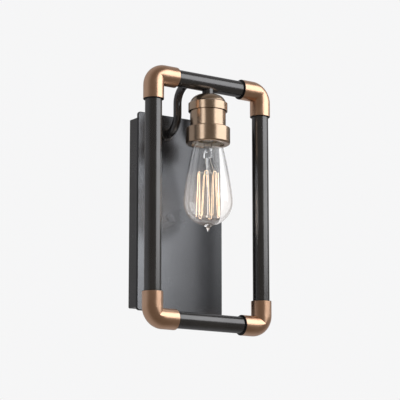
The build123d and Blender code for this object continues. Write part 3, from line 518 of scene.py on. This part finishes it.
finish_nodes(["hot_wire"], insulation("black_cover", light=(0.025, 0.025, 0.025),
                                      dark=(0.012, 0.012, 0.012)))
finish_nodes(["neutral_wire"], insulation("white_cover", light=(0.78, 0.78, 0.76),
                                          dark=(0.66, 0.66, 0.63)))
connector_plastic = surface("connector_plastic", light=(0.62, 0.17, 0.02), dark=(0.48, 0.12, 0.015),
                            roughness=(0.35, 0.5), patch_scale=150.0, contrast=0.4,
                            grain_scale=1200.0, bump=0.15)
finish_nodes(["wire_connectors"], connector_plastic)


def make_rib_group():
    """Rounded ribs down a cone, the same all round, at each point."""
    group, start, end = new_geometry_group("grip_ribs", {"Foot Radius": "NodeSocketFloat",
                                                         "Mouth Radius": "NodeSocketFloat",
                                                         "Height": "NodeSocketFloat",
                                                         "Rib Radius": "NodeSocketFloat",
                                                         "Count": "NodeSocketInt"})
    given = start.outputs
    foot = add_node(group, "ShaderNodeCombineXYZ", {"X": given["Foot Radius"]})
    mouth = add_node(group, "ShaderNodeCombineXYZ", {"X": given["Mouth Radius"], "Z": given["Height"]})
    line = add_node(group, "GeometryNodeCurvePrimitiveLine", {"Start": foot.outputs["Vector"],
                                                              "End": mouth.outputs["Vector"]})
    section = add_node(group, "GeometryNodeCurvePrimitiveCircle",
                       {"Resolution": 8, "Radius": given["Rib Radius"]})
    rib = add_node(group, "GeometryNodeCurveToMesh",
                   {"Curve": line.outputs["Curve"], "Profile Curve": section.outputs["Curve"],
                    "Fill Caps": True})
    index = add_node(group, "GeometryNodeInputIndex").outputs["Index"]
    angle = maths(group, "MULTIPLY", index, maths(group, "DIVIDE", math.tau, given["Count"]))
    turn = add_node(group, "ShaderNodeCombineXYZ", {"Z": angle})
    copies = add_node(group, "GeometryNodePoints", {"Count": given["Count"]})
    cone = add_node(group, "GeometryNodeInstanceOnPoints",
                    {"Points": copies.outputs["Points"], "Instance": rib.outputs["Mesh"],
                     "Rotation": turn.outputs["Vector"]})
    placed = add_node(group, "GeometryNodeInstanceOnPoints",
                      {"Points": given["Geometry"], "Instance": cone.outputs["Instances"]})
    return end_group(group, start, end, placed.outputs["Instances"])


foot_radius, mouth_radius, connector_height = 0.0046, 0.0058, 0.019
rib_radius, rib_count, rib_margin = 0.00045, 14, 0.0012
connector_low, connector_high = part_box("wire_connectors")
connector_y = (connector_low.y + connector_high.y) / 2
connector_feet = [(connector_low.x + mouth_radius, connector_y,
                   connector_high.z - connector_height + rib_margin),
                  (connector_high.x - mouth_radius, connector_y, connector_low.z + rib_margin)]
ribs = grown_piece("connector_ribs", make_rib_group(), connector_feet,
                   {"Foot Radius": foot_radius, "Mouth Radius": mouth_radius,
                    "Height": connector_height - 2 * rib_margin, "Rib Radius": rib_radius,
                    "Count": rib_count}, connector_plastic)
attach(ribs, "root")

# ---------------------------------------------------------------- base of the lamp
# A pressed brass shell with a rolled thread, which is cemented to the glass. Black glass closes its end
# round a drop of solder, the centre contact.
lamp_brass = surface("lamp_brass", light=(0.78, 0.60, 0.32), dark=(0.56, 0.40, 0.19),
                     roughness=(0.2, 0.32), patch_scale=150.0, contrast=0.6,
                     stretch=(1, 1, 0.1), grain_scale=1500.0, bump=0.1, metallic=1.0)
finish_nodes(["lamp_screw_base"], lamp_brass)
base_glass = surface("base_glass", light=(0.012, 0.012, 0.014), dark=(0.006, 0.006, 0.007),
                     roughness=(0.08, 0.16), patch_scale=200.0, contrast=0.5,
                     grain_scale=600.0, bump=0.1)
finish_nodes(["lamp_insulator"], base_glass)
solder = surface("solder", light=(0.72, 0.72, 0.72), dark=(0.5, 0.5, 0.5),
                 roughness=(0.25, 0.5), patch_scale=600.0, contrast=0.8,
                 grain_scale=2500.0, bump=0.3, metallic=1.0)
finish_nodes(["lamp_contact"], solder)

# ---------------------------------------------------------------- glass of the lamp
# Clear blown glass: a long cone that swells to a globe, with the drawn tip where it was sealed off. The
# mount inside is pressed from clear glass. The glass beside the lit wire carries a faint warm painted
# glow, an emission that stands in for the wire's light scattered there.
glass_index = 1.47


def clear_glass(name, tint, shadow):
    """Clear glass that dims the light behind it only to the colour given for its shadow."""
    material, tree, shader = new_material(name, {"Base Color": (*tint, 1.0), "Roughness": 0.0,
                                                 "IOR": glass_index, "Transmission Weight": 1.0})
    passing = add_node(tree, "ShaderNodeBsdfTransparent", {"Color": (*shadow, 1.0)})
    shadow_ray = add_node(tree, "ShaderNodeLightPath").outputs["Is Shadow Ray"]
    whole = mix_shaders(tree, shadow_ray, shader, passing)
    tree.links.new(whole.outputs[0], tree.nodes["Material Output"].inputs["Surface"])
    return material


def add_painted_glow(material, colour, strength, middle, reach):
    """A painted glow: an emission that is full at one height of the glass and fades to nothing above and
    below it.
    """
    tree = material.node_tree
    shader = tree.nodes["Principled BSDF"]
    height = add_node(tree, "ShaderNodeSeparateXYZ", {0: object_place(tree)}).outputs["Z"]
    distance = maths(tree, "DIVIDE", maths(tree, "SUBTRACT", height, middle), reach)
    fade = maths(tree, "SUBTRACT", 1.0, maths(tree, "POWER", distance, 2.0), clamp=True)
    tree.links.new(mix_colours(tree, fade, (0.0, 0.0, 0.0, 1.0), colour),
                   shader.inputs["Emission Color"])
    shader.inputs["Emission Strength"].default_value = strength


filament_low, filament_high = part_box("filament")
filament_middle = (filament_low + filament_high) / 2
painted_glow_drop = 0.008
lamp_glass = clear_glass("lamp_glass", tint=(1.0, 1.0, 1.0), shadow=(0.95, 0.95, 0.95))
# Painted glow on the lamp glass, fullest a little below the middle of the filament.
add_painted_glow(lamp_glass, colour=(1.0, 0.80, 0.66, 1.0), strength=0.038,
         middle=filament_middle.z - painted_glow_drop, reach=0.040)
finish_nodes(["glass_envelope"], lamp_glass)
mount_glass = clear_glass("mount_glass", tint=(0.98, 0.99, 1.0), shadow=(0.9, 0.9, 0.9))
finish_nodes(["glass_mount"], mount_glass)

# ---------------------------------------------------------------- wires and filament of the lamp
# Nickel leads and supports, and one long carbon wire that glows. It runs up and down the cage in loops,
# and turns round the hook of a support at each end of a loop.
nickel = surface("nickel", light=(0.62, 0.60, 0.56), dark=(0.42, 0.40, 0.37),
                 roughness=(0.25, 0.4), patch_scale=400.0, contrast=0.6,
                 stretch=(1, 1, 0.1), grain_scale=2500.0, bump=0.1, metallic=1.0)
finish_nodes(["support_wires", "lead_wires"], nickel)

carbon, tree, shader = new_material("glowing_carbon", {"Base Color": (0.9, 0.6, 0.35, 1.0),
                                                       "Roughness": 0.6, "Emission Strength": 1.9})
cooler, hotter = (1.0, 0.66, 0.40, 1.0), (1.0, 0.86, 0.66, 1.0)
heat = mix_colours(tree, patches(tree, object_place(tree), 300.0, 0.5), cooler, hotter)
tree.links.new(heat, shader.inputs["Emission Color"])
finish_nodes(["filament"], carbon)

loop_count, loop_width, hook_reach = 7, 0.0040, 0.0022
cage_turn, cage_top_radius, cage_bottom_radius = math.radians(20.0), 0.0130, 0.0150
wire_radius, wire_margin = 0.00020, 0.00035
cage_top, cage_bottom = filament_high.z - wire_margin, filament_low.z + wire_margin
contact_low, contact_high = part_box("lamp_contact")
lamp_axis = (contact_low + contact_high) / 2


def on_cage(angle, radius, z):
    """A point at an angle and a radius round the lamp's axis."""
    return (lamp_axis.x + radius * math.cos(angle), lamp_axis.y + radius * math.sin(angle), z)


def hook(angle, radius, z, inwards):
    """The points of one hook: up or down to its end, across it and back."""
    half = loop_width / 2 / radius
    near, far = angle - half, angle + half
    return [on_cage(near, radius, z + inwards * hook_reach), on_cage(near, radius, z),
            on_cage(far, radius, z), on_cage(far, radius, z + inwards * hook_reach)]


loop_step = math.tau / loop_count
lead_half = loop_width / 2 / cage_top_radius
route = [on_cage(cage_turn + lead_half, cage_top_radius, cage_top)]
for loop in range(loop_count):
    route += hook(cage_turn + loop_step * (loop + 0.5), cage_bottom_radius, cage_bottom, 1)
    if loop < loop_count - 1:
        route += hook(cage_turn + loop_step * (loop + 1), cage_top_radius, cage_top, -1)
route.append(on_cage(cage_turn - lead_half, cage_top_radius, cage_top))

line = bpy.data.curves.new("filament_line", "CURVE")
line.dimensions = "3D"
line.bevel_depth = wire_radius
line.bevel_resolution = 3
line.use_fill_caps = True
spline = line.splines.new("NURBS")
spline.points.add(len(route) - 1)
for point, place in zip(spline.points, route):
    point.co = (*place, 1.0)
spline.order_u = 3
spline.use_endpoint_u = True
spline.resolution_u = 8
wire_mesh = plain_mesh(new_object("filament_line", line), "glowing_wire")
wire_mesh.materials.clear()
wire_mesh.materials.append(carbon)
wire_mesh.shade_smooth()
glowing_wire = new_object("glowing_wire", wire_mesh)
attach(glowing_wire, "lamp")
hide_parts("filament")

# ---------------------------------------------------------------- light of the lamp
# The filament's own light on what stands round it: weak and warm, from the middle of the cage. It is
# hidden from the camera and from the glass, which show the wire itself.
lamp_light = bpy.data.lights.new("lamp_light", "POINT")
lamp_light.energy = 0.024
lamp_light.color = (1.0, 0.72, 0.50)
lamp_light.shadow_soft_size = 0.022
lamp_glow = new_object("lamp_light", lamp_light)
lamp_glow.location = filament_middle
lamp_glow.visible_transmission = False
lamp_glow.visible_camera = False
